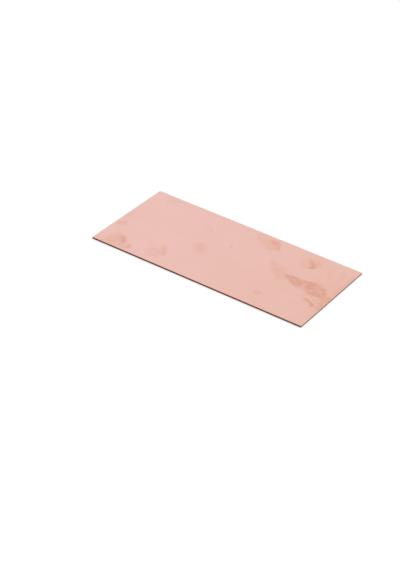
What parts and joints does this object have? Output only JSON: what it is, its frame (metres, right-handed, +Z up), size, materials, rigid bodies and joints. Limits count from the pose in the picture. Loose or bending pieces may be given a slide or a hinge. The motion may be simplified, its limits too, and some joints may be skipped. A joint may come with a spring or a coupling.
{
  "type": "copper sheet",
  "caption": "Flat rectangular copper sheet with sheared edges, raw stock for cutting, bending, etching and soldering.",
  "frame": {"origin": "centre of the underside, on the surface that the sheet lies on", "axes": "+X along the length, +Y along the width, +Z up out of the top face"},
  "size_m": [0.15, 0.075, 0.001],
  "materials": {
    "copper": "satin"
  },
  "bodies": {
    "root": {"copper_sheet": "copper"}
  },
  "joints": []
}
